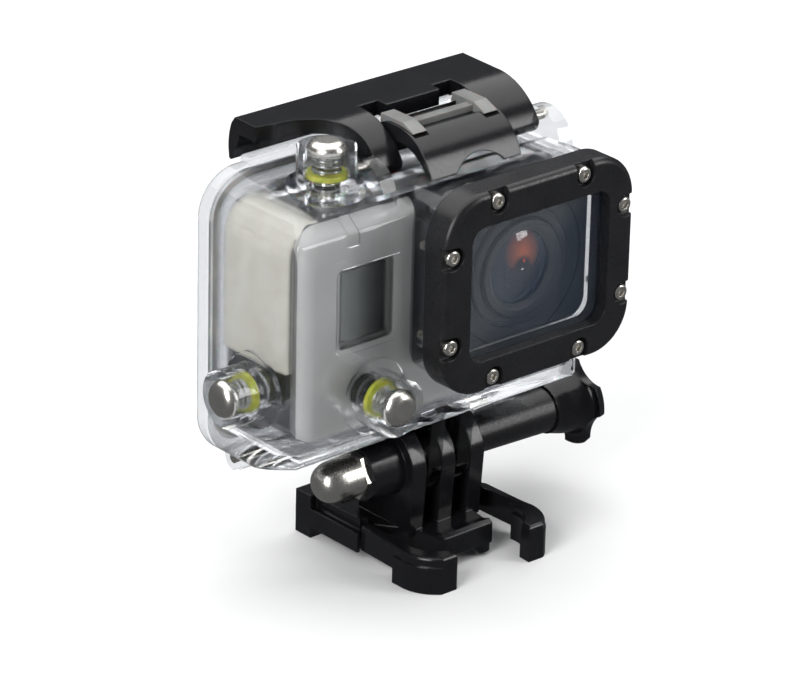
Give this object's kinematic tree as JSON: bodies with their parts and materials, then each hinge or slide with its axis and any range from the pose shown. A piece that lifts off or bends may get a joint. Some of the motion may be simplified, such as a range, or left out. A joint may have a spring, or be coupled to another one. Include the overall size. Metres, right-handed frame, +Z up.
{
  "type": "action camera in waterproof housing",
  "caption": "Small action camera inside a clear waterproof housing with a hinged back door, hooked latch, push buttons and a tilting quick-release buckle mount.",
  "frame": {"origin": "on the plane that the buckle rests on, straight below the middle of the mount's pivot bolt", "axes": "+Z up; the lens looks along -Y; +X is on the right seen from the front"},
  "size_m": [0.085, 0.0402, 0.084],
  "materials": {
    "black_plastic": "gloss black moulded plastic",
    "black_satin": "satin black plastic",
    "clear_plastic": "clear polycarbonate",
    "frosted_plastic": "frosted translucent plastic",
    "port_glass": "tinted flat glass",
    "lens_glass": "coated lens glass",
    "steel": "polished stainless steel",
    "spring_steel": "drawn spring wire",
    "silver_cover": "silver painted plastic",
    "camera_grey": "dark grey plastic",
    "display": "reflective display",
    "display_window": "clear window over the display",
    "washer_yellow": "yellow-green plastic",
    "o_ring_rubber": "black rubber",
    "white_gasket": "white silicone rubber",
    "circuit": "circuit board",
    "battery_wrap": "wrapped battery",
    "felt": "cream felt"
  },
  "bodies": {
    "buckle": {"buckle_base": "black_plastic", "acorn_nut": "steel"},
    "arm_left": {"buckle_arm_left": "black_plastic"},
    "arm_right": {"buckle_arm_right": "black_plastic"},
    "thumb_screw": {"thumb_screw_barrel": "black_satin", "thumb_screw_knob": "black_plastic", "thumb_screw_bolt": "steel"},
    "housing": {"housing_front_shell": "clear_plastic", "door_hinge_pin": "steel", "lens_frame": "black_satin", "lens_frame_screws": "steel", "lens_window_glass": "port_glass", "lens_window_gasket": "o_ring_rubber", "latch_pivot_pins": "steel", "camera_body": "camera_grey", "camera_front_plate": "silver_cover", "camera_lcd": "display", "camera_lcd_window": "display_window", "camera_lens_surround": "camera_grey", "camera_lens_barrel": "camera_grey", "camera_lens_ring": "camera_grey", "camera_lens_glass": "lens_glass", "camera_image_sensor": "circuit", "camera_main_board": "circuit", "camera_battery": "battery_wrap", "camera_battery_door": "camera_grey", "camera_side_door": "camera_grey", "antifog_insert": "felt", "shutter_spring": "spring_steel", "shutter_washer": "washer_yellow", "shutter_o_ring": "o_ring_rubber", "mode_spring": "spring_steel", "mode_washer": "washer_yellow", "mode_o_ring": "o_ring_rubber", "wifi_spring": "spring_steel", "wifi_washer": "washer_yellow", "wifi_o_ring": "o_ring_rubber"},
    "back_door": {"housing_back_door": "clear_plastic", "door_gasket": "white_gasket"},
    "latch_hook": {"latch_hook_plate": "black_plastic", "latch_lever_pin": "steel"},
    "latch_lever": {"latch_lever": "black_plastic"},
    "lock_slider": {"latch_lock_slider": "frosted_plastic"},
    "shutter_plunger": {"shutter_button_pin": "steel", "shutter_retaining_clip": "spring_steel"},
    "camera_shutter_key": {"camera_shutter_button": "camera_grey"},
    "mode_plunger": {"mode_button_pin": "steel", "mode_retaining_clip": "spring_steel"},
    "camera_mode_key": {"camera_mode_button": "camera_grey"},
    "wifi_plunger": {"wifi_button_pin": "steel", "wifi_retaining_clip": "spring_steel"},
    "camera_wifi_key": {"camera_wifi_button": "camera_grey"}
  },
  "joints": [
    {"name": "thumb_screw_turn", "type": "hinge", "parent": "buckle", "child": "thumb_screw", "pos_m": [0, 0, 0.0172], "axis": [1, 0, 0], "continuous": true},
    {"name": "arm_left_squeeze", "type": "hinge", "parent": "buckle", "child": "arm_left", "pos_m": [-0.0138, -0.0016, 0.0047], "axis": [0, 0, 1], "range_deg": [0, 5], "stiffness_Nm_per_rad": 0.6},
    {"name": "arm_right_squeeze", "type": "hinge", "parent": "buckle", "child": "arm_right", "pos_m": [0.0138, -0.0016, 0.0047], "axis": [0, 0, -1], "range_deg": [0, 5], "stiffness_Nm_per_rad": 0.6},
    {"name": "mount_tilt", "type": "hinge", "parent": "buckle", "child": "housing", "pos_m": [0, 0, 0.0172], "axis": [1, 0, 0], "range_deg": [-30, 60]},
    {"name": "latch_hook_lift", "type": "hinge", "parent": "housing", "child": "latch_hook", "pos_m": [0.0019, -0.0007, 0.0763], "axis": [1, 0, 0], "range_deg": [0, 80]},
    {"name": "door_swing", "type": "hinge", "parent": "housing", "child": "back_door", "pos_m": [-0.0053, 0.0126, 0.0208], "axis": [1, 0, 0], "range_deg": [-40, 0]},
    {"name": "latch_lever_lift", "type": "hinge", "parent": "latch_hook", "child": "latch_lever", "pos_m": [0.0019, 0.0024, 0.0783], "axis": [1, 0, 0], "range_deg": [-90, 0]},
    {"name": "lock_slide", "type": "slide", "parent": "latch_lever", "child": "lock_slider", "axis": [0, 1, 0], "range_m": [0, 0.0022]},
    {"name": "shutter_press", "type": "slide", "parent": "housing", "child": "shutter_plunger", "axis": [0, 0, -1], "range_m": [0, 0.0012], "stiffness_N_per_m": 500, "deforming": ["shutter_spring"]},
    {"name": "camera_shutter_key_press", "type": "slide", "parent": "housing", "child": "camera_shutter_key", "axis": [0, 0, -1], "range_m": [0, 0.00054]},
    {"name": "mode_press", "type": "slide", "parent": "housing", "child": "mode_plunger", "axis": [0, 1, 0], "range_m": [0, 0.0012], "stiffness_N_per_m": 500, "deforming": ["mode_spring"]},
    {"name": "camera_mode_key_press", "type": "slide", "parent": "housing", "child": "camera_mode_key", "axis": [0, 1, 0], "range_m": [0, 0.00054]},
    {"name": "wifi_press", "type": "slide", "parent": "housing", "child": "wifi_plunger", "axis": [1, 0, 0], "range_m": [0, 0.0012], "stiffness_N_per_m": 500, "deforming": ["wifi_spring"]},
    {"name": "camera_wifi_key_press", "type": "slide", "parent": "housing", "child": "camera_wifi_key", "axis": [1, 0, 0], "range_m": [0, 0.00054]}
  ],
  "couplings": [
    {"joint": "door_swing", "follows": "latch_hook_lift", "ratio": -0.5},
    {"joint": "latch_lever_lift", "follows": "latch_hook_lift", "ratio": -1.125},
    {"joint": "camera_shutter_key_press", "follows": "shutter_press", "ratio": 0.45},
    {"joint": "camera_mode_key_press", "follows": "mode_press", "ratio": 0.45},
    {"joint": "camera_wifi_key_press", "follows": "wifi_press", "ratio": 0.45}
  ]
}
